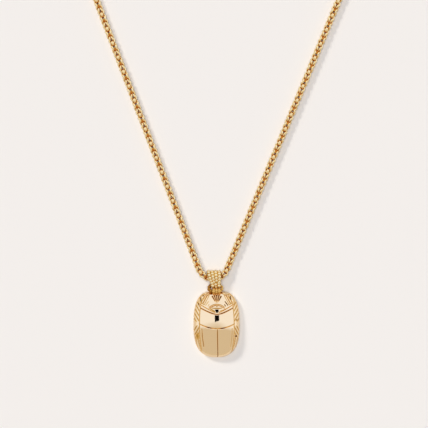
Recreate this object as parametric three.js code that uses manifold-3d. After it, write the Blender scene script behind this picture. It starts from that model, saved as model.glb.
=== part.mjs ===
import * as THREE from "three";
import { mergeVertices } from "three/addons/utils/BufferGeometryUtils.js";
import Module from "manifold-3d";

// A gold scarab amulet on its neck chain, laid flat. Sizes are in millimetres.
// The origin is the middle of the scarab's flat underside, +Y points to its head and the chain, +Z is up.

// Scarab body
const BODY_LENGTH = 24.5;
const BODY_WIDTH = 17.05;
const BODY_HEIGHT = 6.1;
const GIRDLE_HEIGHT = 1.6;
const UNDERSIDE_BEVEL = 0.35;
const OUTLINE_POWER = 2.6;
const HEAD_SQUARENESS = 3.3;
const TAIL_SQUARENESS = 2.6;
const CROWN_POWER_ACROSS = 2.3;
const CROWN_ROUNDING_ACROSS = 0.6;
const CROWN_POWER_ALONG = 2.6;
const CROWN_ROUNDING_ALONG = 0.5;

// Carving depths and line widths, and the slight twist of the carved back on its base
const RIDGE_RISE = 0.28;
const SEAM_DEPTH = 0.34;
const SHELL_STEP = 0.3;
const FINE_DEPTH = 0.26;
const SEAM_HALF_WIDTH = 0.32;
const FINE_HALF_WIDTH = 0.4;
const RIDGE_HALF_WIDTH = 0.62;
const LEVEL_EASE = 0.12;
const BACK_SHIFT = 0.27;
const BACK_TWIST = 0.02;

// Fixed eye on the scarab's head, for the beaded ring
const EYE_PAST_HEAD = 0;
const EYE_ABOVE_GIRDLE = 1.9;
const EYE_WIDTH = 3.0;
const EYE_WALL = 0.46;

// Beaded oval ring between the scarab and the bail
const RING_WIRE = 0.9;
const RING_CENTRE_X = -0.45;
const RING_HALF_WIDTH = 2.52;
const RING_RUN_Y = 2.15;
const RING_RUN_Z = 1.6;
const RING_CLEARANCE = 0.24;
const RING_SQUARENESS = 3.5;

// Bail
const BAIL_TOP_WIDTH = 5.2;
const BAIL_BOTTOM_WIDTH = 3.4;
const BAIL_STRAP = 0.42;
const BAIL_COLUMNS = 4;
const BAIL_BEAD_RISE = 0.34;
const BAIL_LEAN_DEG = 8.4;
const BAIL_CHAIN_CLEARANCE = 0.32;
const BAIL_FOOT_X = -0.26;
const BAIL_FOOT_HALF_HEIGHT = 1.2;
const BAIL_TOP_ABOVE_CHAIN = 0.8;
const BAIL_OFF_TABLE = 0.05;

// Neck chain
const CHAIN_WIDTH = 2.56;
const CHAIN_NECK_WIDTH = 1.95;
const CHAIN_UNIT = 2.83;
const CHAIN_LOW_X = -1.4;
const CHAIN_ABOVE_FOOT = 2.45;
const CHAIN_BEND_RADIUS = 5.64;
const CHAIN_BACK_RADIUS = 52.1;
const CHAIN_ARM_HALF_ANGLE_DEG = 21.7;
const CHAIN_LEAN_DEG = 0.84;
const LIFT_START = 9.5;
const LIFT_FULL = 4.0;
const UNITS_IN_BAIL = 8;
const UNITS_PER_SIDE = 40;
const BACK_PIECES_PER_SIDE = 2;

// Clasp
const CAP_LENGTH = 4.0;
const CAP_WIDTH = 2.9;
const CLASP_EYE_INNER_RADIUS = 0.95;
const CLASP_EYE_WIRE = 0.7;
const CLASP_EYE_SPAN = 8.4;
const HOOK_WIRE = 0.9;
const HOOK_LOOP_RADIUS = 1.25;

// Space kept between pieces that touch in the real thing
const PIECE_GAP = 0.3;

// Numbers of facets
const CHAIN_SIDES = 6;
const RING_SIDES = 6;
const RING_STEPS = 20;
const BAIL_STEPS = 28;
const EYE_STEPS = 14;
const ROW_SPACING = 0.56;

const HALF_LENGTH = BODY_LENGTH / 2;
const HALF_WIDTH = BODY_WIDTH / 2;
const DEGREE = Math.PI / 180;
const EYE_Y = HALF_LENGTH + EYE_PAST_HEAD;
const EYE_Z = GIRDLE_HEIGHT + EYE_ABOVE_GIRDLE;
const FOOT_Y = EYE_Y + RING_RUN_Y;
const FOOT_Z = EYE_Z - RING_RUN_Z;
const CHAIN_LOW_Y = FOOT_Y + CHAIN_ABOVE_FOOT;

// The carving is drawn in steps: this many make half the body's length, and half its width.
const STEPS_ALONG = 12.25;
const STEPS_ACROSS = 8.6;
const STEP_ALONG = HALF_LENGTH / STEPS_ALONG;
const STEP_ACROSS = HALF_WIDTH / STEPS_ACROSS;

const wasm = await Module();
wasm.setup();

// Closed mesh from rows of points; each row joins the next, and the ends close on their middle points.
function loft(rows, closed = false) {
  const positions = [];
  const faces = [];
  const count = rows[0].length;
  rows.forEach((row) => row.forEach((point) => positions.push(point.x, point.y, point.z)));
  const last = closed ? rows.length : rows.length - 1;
  for (let i = 0; i < last; i += 1) {
    const near = i * count;
    const far = ((i + 1) % rows.length) * count;
    for (let j = 0; j < count; j += 1) {
      const next = (j + 1) % count;
      faces.push(near + j, near + next, far + next, near + j, far + next, far + j);
    }
  }
  if (!closed) {
    const ends = [[rows[0], 0, true], [rows[rows.length - 1], (rows.length - 1) * count, false]];
    ends.forEach(([row, start, first]) => {
      const middle = row.reduce((sum, point) => sum.add(point), new THREE.Vector3()).divideScalar(count);
      const centre = positions.length / 3;
      positions.push(middle.x, middle.y, middle.z);
      for (let j = 0; j < count; j += 1) {
        const next = (j + 1) % count;
        faces.push(...(first ? [centre, start + next, start + j] : [centre, start + j, start + next]));
      }
    });
  }
  const geometry = new THREE.BufferGeometry();
  geometry.setAttribute("position", new THREE.Float32BufferAttribute(positions, 3));
  geometry.setIndex(faces);
  return geometry;
}

function toSolid(geometry) {
  const bare = geometry.clone();
  bare.deleteAttribute("normal");
  bare.deleteAttribute("uv");
  const merged = mergeVertices(bare, 1e-4);
  const solid = new wasm.Manifold(new wasm.Mesh({
    numProp: 3,
    vertProperties: new Float32Array(merged.attributes.position.array),
    triVerts: new Uint32Array(merged.index.array),
  }));
  return solid;
}

function toGeometry(solid) {
  const mesh = solid.getMesh();
  const geometry = new THREE.BufferGeometry();
  geometry.setAttribute("position", new THREE.Float32BufferAttribute(mesh.vertProperties, 3));
  geometry.setIndex(Array.from(mesh.triVerts));
  return geometry;
}

function join(...geometries) {
  const solids = geometries.map(toSolid);
  return toGeometry(solids.reduce((whole, solid) => whole.add(solid)));
}

// Outline and crown of the scarab
function halfWidthAt(y) {
  const share = Math.min(Math.abs(y) / HALF_LENGTH, 1);
  const squareness = y > 0 ? HEAD_SQUARENESS : TAIL_SQUARENESS;
  return HALF_WIDTH * (1 - share ** OUTLINE_POWER) ** (1 / squareness);
}

function crownAt(across, along) {
  const sideways = (1 - Math.abs(across) ** CROWN_POWER_ACROSS) ** CROWN_ROUNDING_ACROSS;
  const lengthways = (1 - Math.abs(along) ** CROWN_POWER_ALONG) ** CROWN_ROUNDING_ALONG;
  return (BODY_HEIGHT - RIDGE_RISE - GIRDLE_HEIGHT) * sideways * lengthways;
}

// The carved back is shifted a little off the middle of its base, less towards the edge and the ends.
function backShift(y) {
  const fade = Math.min(1, 2 * halfWidthAt(y) / HALF_WIDTH);
  return fade * (BACK_SHIFT - BACK_TWIST * y);
}

// Seams of the carving, in steps along the body for a distance of a steps from the middle line
const thoraxBase = (a) => -1.4 + 1.4 * (a / 6) ** 2;
const collarLow = (a) => 3.88 + 2.3 * (Math.min(a, 6.4) / 5.75) ** 1.3;
const collarHigh = (a) => 4.45 + 2.4 * (Math.min(a, 6.4) / 5.3) ** 1.05;
const lidArch = (a) => 7.3 - (a / 2.7) ** 2;
const COLLAR_GROOVE_BELOW = 0.25;
const LENS_MIDDLE = 6.3;
const LENS_HALF_HEIGHT = 0.42;
const LENS_HALF_WIDTH = 1.5;
const SHELL_SHARE = 0.75;
const SHELL_TAPER = 0.14;
const SHELL_MOST = 0.93;
function shellEdge(b) {
  const outline = halfWidthAt(b * STEP_ALONG) / STEP_ACROSS;
  const straight = SHELL_SHARE * STEPS_ACROSS * (1 - SHELL_TAPER * (b / 10) ** 2);
  return b > 0 ? SHELL_SHARE * outline : Math.min(straight, SHELL_MOST * outline);
}

const clamp01 = (t) => Math.min(Math.max(t, 0), 1);
const smooth = (from, to, t) => {
  const share = clamp01((t - from) / (to - from));
  return share * share * (3 - 2 * share);
};
const bump = (distance, halfWidth) => Math.max(0, 1 - (distance / halfWidth) ** 2) ** 2;

function toSegment(a, b, from, to) {
  const run = [to[0] - from[0], to[1] - from[1]];
  const share = clamp01(((a - from[0]) * run[0] + (b - from[1]) * run[1]) / (run[0] ** 2 + run[1] ** 2));
  return Math.hypot(a - from[0] - share * run[0], b - from[1] - share * run[1]);
}

// Lines of the head and sides, from point to point, in steps from the middle and along the body
const FAN_APEX = 7.4;
const FAN_START = 1.2;
const FAN_END = 3.8;
const FAN_ANGLES_DEG = [13, 34];
const HEAD_RIDGE = [[3.3, 10.7], [5.1, 7.8]];
const FORELEG = [[6.1, 8.1], [5.6, 9.7], [4.6, 10.6]];
const HIND_LEG = [[7.3, -4.8], [6.9, -7.2], [6.2, -9.2]];
const LATERAL_LINE = [[5.6, -1.6], [5.4, -4.6], [4.9, -8.1]];

function lineDistance(a, b, points) {
  return Math.min(...points.slice(1).map((point, i) => toSegment(a, b, points[i], point)));
}

// Grooves between the overlapping strokes of the legs along the side border
const STROKE_PITCH = 2.3;
const STROKE_SLOPE = 2.4;
function borderGrooves(a, b) {
  const upper = smooth(0.9, 1.5, b) * (1 - smooth(8.0, 8.8, b));
  const lower = smooth(-3.9, -3.2, b) * (1 - smooth(-0.6, 0.2, b));
  const rising = Math.cos(2 * Math.PI * (b - STROKE_SLOPE * (a - 7)) / STROKE_PITCH);
  const falling = Math.cos(2 * Math.PI * (b + STROKE_SLOPE * (a - 7)) / STROKE_PITCH);
  return (upper * (1 + rising) + lower * (1 + falling)) / 2;
}

// Rise or fall of the carving at a place a steps from the middle line and b steps along the body
function reliefAt(a, b) {
  const edge = shellEdge(b);
  const onShell = 1 - smooth(edge - LEVEL_EASE, edge + 2 * LEVEL_EASE, a);
  const hasStep = smooth(-11.0, -9.4, b) * (1 - smooth(6.4, 7.4, b));
  let height = -SHELL_STEP * (1 - onShell) * hasStep;

  // Wing cases and the plate of the thorax
  height -= SEAM_DEPTH * bump(b - thoraxBase(a), SEAM_HALF_WIDTH) * onShell;
  height -= SEAM_DEPTH * bump(a, SEAM_HALF_WIDTH) * (1 - smooth(-1.7, -1.4, b));
  height -= FINE_DEPTH * bump(lineDistance(a, b, LATERAL_LINE), FINE_HALF_WIDTH);
  height -= FINE_DEPTH * bump(a - edge, SEAM_HALF_WIDTH) * hasStep;

  // Collar band and the lens above it
  const above = (line) => smooth(line - LEVEL_EASE, line + LEVEL_EASE, b);
  height += RIDGE_RISE * (above(collarLow(a)) - above(collarHigh(a))) * (1 - smooth(6.2, 6.6, a));
  height -= FINE_DEPTH * bump(b - collarLow(a) + COLLAR_GROOVE_BELOW, SEAM_HALF_WIDTH) * onShell;
  height += RIDGE_RISE * bump(b - lidArch(a), FINE_HALF_WIDTH) * (1 - smooth(3.0, 3.5, a));
  height += RIDGE_RISE * bump(Math.hypot(a / LENS_HALF_WIDTH, (b - LENS_MIDDLE) / LENS_HALF_HEIGHT), 1);

  // Fan on the front plate of the head
  const radius = Math.hypot(a, b - FAN_APEX);
  const angle = Math.atan2(a, b - FAN_APEX);
  const fan = smooth(FAN_START, FAN_START + 0.4, radius) * (1 - smooth(FAN_END - 0.4, FAN_END, radius));
  FAN_ANGLES_DEG.forEach((degrees) => {
    height -= SEAM_DEPTH * fan * bump(radius * Math.sin(angle - degrees * DEGREE), FINE_HALF_WIDTH);
  });

  // Ridges of the cheeks and the legs folded against the border
  height += RIDGE_RISE * bump(lineDistance(a, b, HEAD_RIDGE), RIDGE_HALF_WIDTH);
  height += RIDGE_RISE * bump(lineDistance(a, b, FORELEG), RIDGE_HALF_WIDTH);
  const outline = halfWidthAt(b * STEP_ALONG) / STEP_ACROSS;
  const onBorder = smooth(edge + 0.1, edge + 0.4, a) * (1 - smooth(0.93, 1.0, a / outline));
  height -= RIDGE_RISE * borderGrooves(a, b) * onBorder;
  height += RIDGE_RISE * bump(lineDistance(a, b, HIND_LEG), RIDGE_HALF_WIDTH) * onBorder;
  return height;
}

// Rows of the carved surface follow the seams, so each seam is a clean line of facets.
const CLOSEST_ROWS = 0.5;
const ROW_LINES = [
  { at: -STEPS_ALONG, bow: () => 0 },
  { at: thoraxBase(0), bow: (a) => thoraxBase(a) - thoraxBase(0) },
  { at: collarLow(0), bow: (a) => collarLow(a) - collarLow(0) },
  { at: collarHigh(0), bow: (a) => collarHigh(a) - collarHigh(0) },
  { at: lidArch(0), bow: (a) => Math.max(lidArch(a), collarHigh(a) + CLOSEST_ROWS) - lidArch(0) },
  { at: STEPS_ALONG, bow: () => 0 },
];

function rowHeight(b, a) {
  const i = Math.max(0, ROW_LINES.findIndex((line, k) => k > 0 && b <= line.at) - 1);
  const [low, high] = [ROW_LINES[i], ROW_LINES[i + 1]];
  const share = (b - low.at) / (high.at - low.at);
  return b + low.bow(a) * (1 - share) + high.bow(a) * share;
}

function bodyRows() {
  const collar = [collarLow(0) - COLLAR_GROOVE_BELOW, collarLow(0) + LEVEL_EASE, collarHigh(0)];
  const seams = [thoraxBase(0), ...collar, lidArch(0)];
  const keys = [-STEPS_ALONG];
  seams.forEach((seam) => keys.push(seam - SEAM_HALF_WIDTH / 2, seam + SEAM_HALF_WIDTH / 2));
  keys.push(STEPS_ALONG);
  const rows = [];
  keys.slice(1).forEach((key, i) => {
    const start = keys[i];
    const steps = Math.max(1, Math.round((key - start) / ROW_SPACING));
    for (let k = 0; k < steps; k += 1) {
      rows.push(start + (key - start) * k / steps);
    }
  });
  // Two close rows at each end keep the ends round.
  const tip = [0.07, 0.25];
  rows.push(...tip.map((inset) => STEPS_ALONG - inset), ...tip.map((inset) => inset - STEPS_ALONG));
  return rows.filter((b) => Math.abs(b) < STEPS_ALONG - 1e-6).sort((p, q) => p - q);
}

// Columns follow the wing cases' edge, which is where the share of 0.75 lies.
const COLUMN_SHARES = [
  0.03, 0.06, 0.14, 0.23, 0.32, 0.41, 0.5, 0.58, 0.65, 0.72, 0.75, 0.785, 0.835, 0.89, 0.95, 1,
];

function columnShare(share, b) {
  const edge = shellEdge(b) * STEP_ACROSS / Math.max(halfWidthAt(b * STEP_ALONG), SEAM_HALF_WIDTH);
  const size = Math.abs(share);
  const outer = 1 - (1 - size) * (1 - edge) / (1 - SHELL_SHARE);
  return Math.sign(share) * (size < SHELL_SHARE ? size * edge / SHELL_SHARE : outer);
}

function carvedBody() {
  const columns = [...COLUMN_SHARES.map((share) => -share).reverse(), 0, ...COLUMN_SHARES];
  const count = columns.length;
  const positions = [];
  const faces = [];
  const put = (x, y, z) => positions.push(x, y, z) / 3 - 1;
  const rises = [];
  const rows = bodyRows().map((b) => columns.map((column) => {
    const share = columnShare(column, b);
    const straight = halfWidthAt(b * STEP_ALONG) / STEP_ACROSS;
    const y = rowHeight(b, Math.abs(share) * straight) * STEP_ALONG;
    const half = halfWidthAt(y);
    const rise = Math.abs(share) < 1 ? reliefAt(Math.abs(share) * half / STEP_ACROSS, y / STEP_ALONG) : 0;
    const x = share * half + backShift(y) * (1 - share ** 2);
    rises.push(rise);
    return put(x, y, GIRDLE_HEIGHT + crownAt(share, y / HALF_LENGTH) + rise);
  }));
  const tail = put(0, -HALF_LENGTH, GIRDLE_HEIGHT);
  const head = put(0, HALF_LENGTH, GIRDLE_HEIGHT);
  rows.slice(1).forEach((row, i) => {
    for (let j = 0; j < count - 1; j += 1) {
      const [a, b, c, d] = [rows[i][j], rows[i][j + 1], row[j + 1], row[j]];
      // Each square is split along the carved line that crosses it.
      const along = Math.abs(rises[a] - rises[c]) < Math.abs(rises[b] - rises[d]);
      faces.push(...(along ? [a, b, c, a, c, d] : [a, b, d, b, c, d]));
    }
  });
  for (let j = 0; j < count - 1; j += 1) {
    faces.push(tail, rows[0][j + 1], rows[0][j]);
    faces.push(head, rows[rows.length - 1][j], rows[rows.length - 1][j + 1]);
  }

  // Upright edge, bevel and flat underside, going round the outline
  const rim = [tail, ...rows.map((row) => row[count - 1]), head, ...rows.map((row) => row[0]).reverse()];
  const ring = (inset, z) => rim.map((index) => {
    const [x, y] = [positions[3 * index], positions[3 * index + 1]];
    return put(x * (1 - inset / HALF_WIDTH), y * (1 - inset / HALF_LENGTH), z);
  });
  const rings = [rim, ring(0, UNDERSIDE_BEVEL), ring(UNDERSIDE_BEVEL, 0)];
  rings.slice(1).forEach((lower, i) => {
    rim.forEach((_, j) => {
      const next = (j + 1) % rim.length;
      faces.push(rings[i][j], lower[next], rings[i][next], rings[i][j], lower[j], lower[next]);
    });
  });
  const middle = put(0, 0, 0);
  const flat = rings[rings.length - 1];
  flat.forEach((index, j) => faces.push(middle, flat[(j + 1) % flat.length], index));
  const geometry = new THREE.BufferGeometry();
  geometry.setAttribute("position", new THREE.Float32BufferAttribute(positions, 3));
  geometry.setIndex(faces);
  return geometry;
}

// Fixed eye that the beaded ring hangs in
const EYE_INNER_RADIUS = RING_WIRE / 2 + RING_CLEARANCE;
function headEye() {
  const outline = new THREE.Shape();
  outline.absarc(0, 0, EYE_INNER_RADIUS + EYE_WALL, 0, 2 * Math.PI, false);
  const hole = new THREE.Path();
  hole.absarc(0, 0, EYE_INNER_RADIUS, 0, 2 * Math.PI, true);
  outline.holes.push(hole);
  const options = { depth: EYE_WIDTH, bevelEnabled: false, curveSegments: EYE_STEPS };
  const band = new THREE.ExtrudeGeometry(outline, options);
  band.translate(0, 0, -EYE_WIDTH / 2);
  band.rotateY(Math.PI / 2);
  band.translate(0, EYE_Y, EYE_Z);
  return band;
}

// Oval ring, tilted from the eye on the head down to the foot of the bail
function beadedRing() {
  const tilt = Math.atan2(RING_RUN_Z, RING_RUN_Y);
  const halfHeight = Math.hypot(RING_RUN_Y, RING_RUN_Z) / 2;
  const rows = [];
  for (let i = 0; i < RING_STEPS; i += 1) {
    const turn = 2 * Math.PI * i / RING_STEPS;
    const across = Math.sign(Math.cos(turn)) * Math.abs(Math.cos(turn)) ** (2 / RING_SQUARENESS);
    const along = Math.sign(Math.sin(turn)) * Math.abs(Math.sin(turn)) ** (2 / RING_SQUARENESS);
    const centre = new THREE.Vector3(RING_HALF_WIDTH * across, halfHeight * along, 0);
    const slopeX = Math.sign(across) * Math.abs(across) ** (RING_SQUARENESS - 1) / RING_HALF_WIDTH;
    const slopeY = Math.sign(along) * Math.abs(along) ** (RING_SQUARENESS - 1) / halfHeight;
    const outward = new THREE.Vector3(slopeX, slopeY, 0).normalize();
    const row = [];
    for (let j = 0; j < RING_SIDES; j += 1) {
      const angle = -2 * Math.PI * j / RING_SIDES;
      const point = centre.clone().addScaledVector(outward, RING_WIRE / 2 * Math.cos(angle));
      point.z = RING_WIRE / 2 * Math.sin(angle);
      row.push(point);
    }
    rows.push(row);
  }
  const geometry = loft(rows, true);
  geometry.rotateX(-tilt);
  geometry.translate(RING_CENTRE_X, EYE_Y + RING_RUN_Y / 2, EYE_Z - RING_RUN_Z / 2);
  return geometry;
}

// Chain route, as points at a distance s from its lowest point, to the right for s above 0
const ARM = CHAIN_ARM_HALF_ANGLE_DEG * DEGREE;
const LEAN = CHAIN_LEAN_DEG * DEGREE;
const BEND_CENTRE = CHAIN_BEND_RADIUS / Math.sin(ARM);
const BACK_CENTRE = CHAIN_BACK_RADIUS / Math.sin(ARM);
const BEND_TURN = Math.PI / 2 - ARM;
const BEND_LENGTH = CHAIN_BEND_RADIUS * BEND_TURN;
const ARM_LENGTH = (BACK_CENTRE - BEND_CENTRE) * Math.cos(ARM);
const HALF_ROUTE = BEND_LENGTH + ARM_LENGTH + CHAIN_BACK_RADIUS * (Math.PI - BEND_TURN);

// Height of the chain's middle: on the table, and lifted where it runs through the bail
const BAIL_INNER_HALF_HEIGHT = CHAIN_WIDTH / 2 + BAIL_CHAIN_CLEARANCE;
const BAIL_AXIS_Z = BAIL_INNER_HALF_HEIGHT + BAIL_STRAP + BAIL_OFF_TABLE;

function routePoint(s) {
  const length = Math.abs(s);
  const point = { across: 0, along: 0, turn: 0 };
  if (length < BEND_LENGTH) {
    point.turn = length / CHAIN_BEND_RADIUS;
    point.across = CHAIN_BEND_RADIUS * Math.sin(point.turn);
    point.along = BEND_CENTRE - CHAIN_BEND_RADIUS * Math.cos(point.turn);
  } else if (length < BEND_LENGTH + ARM_LENGTH) {
    const run = length - BEND_LENGTH;
    point.turn = BEND_TURN;
    point.across = CHAIN_BEND_RADIUS * Math.sin(BEND_TURN) + run * Math.sin(ARM);
    point.along = BEND_CENTRE - CHAIN_BEND_RADIUS * Math.cos(BEND_TURN) + run * Math.cos(ARM);
  } else {
    point.turn = BEND_TURN + (length - BEND_LENGTH - ARM_LENGTH) / CHAIN_BACK_RADIUS;
    point.across = CHAIN_BACK_RADIUS * Math.sin(point.turn);
    point.along = BACK_CENTRE - CHAIN_BACK_RADIUS * Math.cos(point.turn);
  }
  const side = s < 0 ? -1 : 1;
  const above = point.along - (BEND_CENTRE - CHAIN_BEND_RADIUS);
  const lift = 1 - smooth(LIFT_FULL, LIFT_START, length);
  const place = new THREE.Vector3(
    CHAIN_LOW_X + side * point.across * Math.cos(LEAN) + above * Math.sin(LEAN),
    CHAIN_LOW_Y - side * point.across * Math.sin(LEAN) + above * Math.cos(LEAN),
    CHAIN_WIDTH / 2 + lift * (BAIL_AXIS_Z - CHAIN_WIDTH / 2),
  );
  const heading = side * point.turn - LEAN;
  return { place, ahead: new THREE.Vector3(Math.cos(heading), Math.sin(heading), 0) };
}

// Stretch of chain from s to s: a knot in the middle of each unit and a neck between units
function chainStretch(from, to) {
  const units = Math.round((to - from) / CHAIN_UNIT);
  const up = new THREE.Vector3(0, 0, 1);
  const rows = [];
  for (let i = 0; i <= 2 * units; i += 1) {
    const inset = i === 0 ? PIECE_GAP / 2 : i === 2 * units ? -PIECE_GAP / 2 : 0;
    const { place, ahead } = routePoint(from + (to - from) * i / (2 * units) + inset);
    const radius = (i % 2 === 1 ? CHAIN_WIDTH : CHAIN_NECK_WIDTH) / 2;
    const aside = new THREE.Vector3().crossVectors(up, ahead);
    const row = [];
    for (let j = 0; j < CHAIN_SIDES; j += 1) {
      const angle = 2 * Math.PI * j / CHAIN_SIDES;
      const flat = Math.sin(angle) / Math.cos(Math.PI / CHAIN_SIDES);
      const point = place.clone().addScaledVector(aside, radius * Math.cos(angle));
      row.push(point.addScaledVector(up, radius * flat));
    }
    rows.push(row);
  }
  return loft(rows);
}

// Bail: a strap bent into a closed drop in the plane x = 0, with columns of beads outside
const TOP_Y = CHAIN_LOW_Y + BAIL_TOP_ABOVE_CHAIN;
const TOP_INNER_RADIUS_Y = CHAIN_WIDTH / 2 + BAIL_CHAIN_CLEARANCE;

function dropOutline() {
  const foot = { y: FOOT_Y, z: FOOT_Z, ry: EYE_INNER_RADIUS, rz: BAIL_FOOT_HALF_HEIGHT };
  const top = { y: TOP_Y, z: BAIL_AXIS_Z, ry: TOP_INNER_RADIUS_Y, rz: BAIL_INNER_HALF_HEIGHT };
  const points = [];
  const normals = [];
  const footSteps = Math.round(BAIL_STEPS / 3);
  const topSteps = BAIL_STEPS - footSteps;
  const pinch = 0.06 * Math.PI;
  const arc = (oval, start, end, steps) => {
    for (let i = 0; i < steps; i += 1) {
      const angle = start + (end - start) * i / (steps - 1);
      points.push([oval.y + oval.ry * Math.cos(angle), oval.z + oval.rz * Math.sin(angle)]);
      normals.push([Math.cos(angle), Math.sin(angle)]);
    }
  };
  arc(top, -Math.PI / 2 - pinch, Math.PI / 2 + pinch, topSteps);
  arc(foot, Math.PI / 2 + pinch, 1.5 * Math.PI - pinch, footSteps);
  return points.map((point, i) => ({ point, normal: normals[i] }));
}

function bail() {
  const lean = Math.tan(BAIL_LEAN_DEG * DEGREE);
  const columns = 2 * BAIL_COLUMNS;
  const rows = dropOutline().map(({ point, normal }, k) => {
    const share = smooth(FOOT_Y - 1, TOP_Y + TOP_INNER_RADIUS_Y, point[0]);
    const half = (BAIL_BOTTOM_WIDTH + (BAIL_TOP_WIDTH - BAIL_BOTTOM_WIDTH) * share) / 2;
    const outside = smooth(-0.55, 0.1, normal[1]);
    const row = [];
    const add = (across, out) => {
      const y = point[0] + normal[0] * out;
      const z = point[1] + normal[1] * out;
      row.push(new THREE.Vector3(BAIL_FOOT_X + half * across - lean * (y - FOOT_Y), y, z));
    };
    add(-1, 0);
    add(1, 0);
    for (let i = columns; i >= 0; i -= 1) {
      const rise = i % 2 === 1 && k % 2 === 1 ? BAIL_BEAD_RISE * outside : 0;
      add(2 * i / columns - 1, BAIL_STRAP + rise);
    }
    return row;
  });
  return loft(rows, true);
}

// Clasp parts, drawn along X about the middle of the clasp and turned to the chain's heading
const CLASP_MIDDLE = routePoint(HALF_ROUTE);
const CLASP_AXIS_Z = CLASP_EYE_INNER_RADIUS + CLASP_EYE_WIRE;
const CLASP_EYE_RADIUS = CLASP_EYE_INNER_RADIUS + CLASP_EYE_WIRE / 2;

function toClaspPlace(geometry) {
  geometry.rotateZ(-LEAN);
  geometry.translate(CLASP_MIDDLE.place.x, CLASP_MIDDLE.place.y, 0);
  return geometry;
}

// Cap over the end of the chain, with a fixed eye; side is 1 on the right and -1 on the left
function endCap(side) {
  const radius = CAP_WIDTH / 2;
  const start = CLASP_EYE_SPAN / 2 + CLASP_EYE_RADIUS;
  const neck = [[0, 0], [0.75, 0], [0.75, 0.5]];
  const profile = [...neck, [1, 1], [1, CAP_LENGTH - 0.4], [0.9, CAP_LENGTH], [0, CAP_LENGTH]];
  const cap = new THREE.LatheGeometry(profile.map(([share, y]) => new THREE.Vector2(share * radius, y)), 10);
  cap.rotateX(Math.PI / 2);
  cap.rotateY(Math.PI / 2);
  cap.translate(start, 0, radius);
  const eye = new THREE.TorusGeometry(CLASP_EYE_RADIUS, CLASP_EYE_WIRE / 2, 6, 12);
  eye.rotateX(Math.PI / 2);
  eye.translate(CLASP_EYE_SPAN / 2, 0, CLASP_AXIS_Z);
  const parts = join(cap, eye);
  if (side < 0) {
    parts.rotateZ(Math.PI);
  }
  return toClaspPlace(parts);
}

function claspHook() {
  const reach = CLASP_EYE_SPAN / 2;
  const loopX = reach - HOOK_LOOP_RADIUS;
  const loop = new THREE.TorusGeometry(HOOK_LOOP_RADIUS, HOOK_WIRE / 2, 6, 14);
  loop.translate(loopX, 0, CLASP_AXIS_Z);
  const bendX = -loopX;
  const route = [[loopX - HOOK_LOOP_RADIUS, 0], [0.4, 0.25], [-1.2, 0.95], [bendX, HOOK_LOOP_RADIUS]];
  for (let i = 1; i <= 4; i += 1) {
    const angle = Math.PI / 2 + Math.PI * i / 4;
    route.push([bendX + HOOK_LOOP_RADIUS * Math.cos(angle), HOOK_LOOP_RADIUS * Math.sin(angle)]);
  }
  route.push([bendX + 1.2, -HOOK_LOOP_RADIUS - 0.15]);
  const curve = new THREE.CatmullRomCurve3(route.map(([x, y]) => new THREE.Vector3(x, y, CLASP_AXIS_Z)));
  const section = new THREE.Shape();
  section.absarc(0, 0, HOOK_WIRE / 2, 0, 2 * Math.PI, false);
  const wire = new THREE.ExtrudeGeometry(section, { extrudePath: curve, steps: 20, curveSegments: 3 });
  return toClaspPlace(join(loop, wire));
}

// Materials
const polishedGold = () => new THREE.MeshStandardMaterial({ color: 0xe6bf7c, roughness: 0.16, metalness: 1 });
const beadedGold = () => new THREE.MeshStandardMaterial({ color: 0xdcae63, roughness: 0.3, metalness: 1 });
const chainGold = () => new THREE.MeshStandardMaterial({ color: 0xd9a95c, roughness: 0.22, metalness: 1 });

const group = new THREE.Group();
function addPiece(name, geometry, material) {
  const mesh = new THREE.Mesh(geometry, material);
  mesh.name = name;
  group.add(mesh);
}

addPiece("scarab", join(carvedBody(), headEye()), polishedGold());
addPiece("beaded_ring", beadedRing(), beadedGold());
addPiece("bail", bail(), beadedGold());

// Chain, from the bail up each side and round the back of the neck to the caps
const bailEnd = UNITS_IN_BAIL / 2 * CHAIN_UNIT;
const sideEnd = bailEnd + UNITS_PER_SIDE * CHAIN_UNIT;
const capEnd = HALF_ROUTE - CLASP_EYE_SPAN / 2 - CLASP_EYE_RADIUS - CAP_LENGTH;
const backUnits = Math.floor((capEnd - PIECE_GAP / 2 - sideEnd) / CHAIN_UNIT);
const backUnit = (capEnd - PIECE_GAP / 2 - sideEnd) / backUnits;

function addStretch(name, from, to, side) {
  const [start, end] = side < 0 ? [-to, -from] : [from, to];
  addPiece(name, chainStretch(start, end), chainGold());
}

addStretch("chain_through_bail", -bailEnd, bailEnd, 1);
[["right", 1], ["left", -1]].forEach(([word, side]) => {
  addStretch(`chain_${word}_side`, bailEnd, sideEnd, side);
  let start = sideEnd;
  for (let i = 1; i <= BACK_PIECES_PER_SIDE; i += 1) {
    const unitsTo = (piece) => Math.round(backUnits * piece / BACK_PIECES_PER_SIDE);
    const units = unitsTo(i) - unitsTo(i - 1);
    const end = start + units * backUnit;
    addStretch(`chain_${word}_back_${i}`, start, end, side);
    start = end;
  }
  addPiece(`end_cap_${word}`, endCap(side), polishedGold());
});
addPiece("clasp_hook", claspHook(), polishedGold());

export default group;
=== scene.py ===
import math

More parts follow.
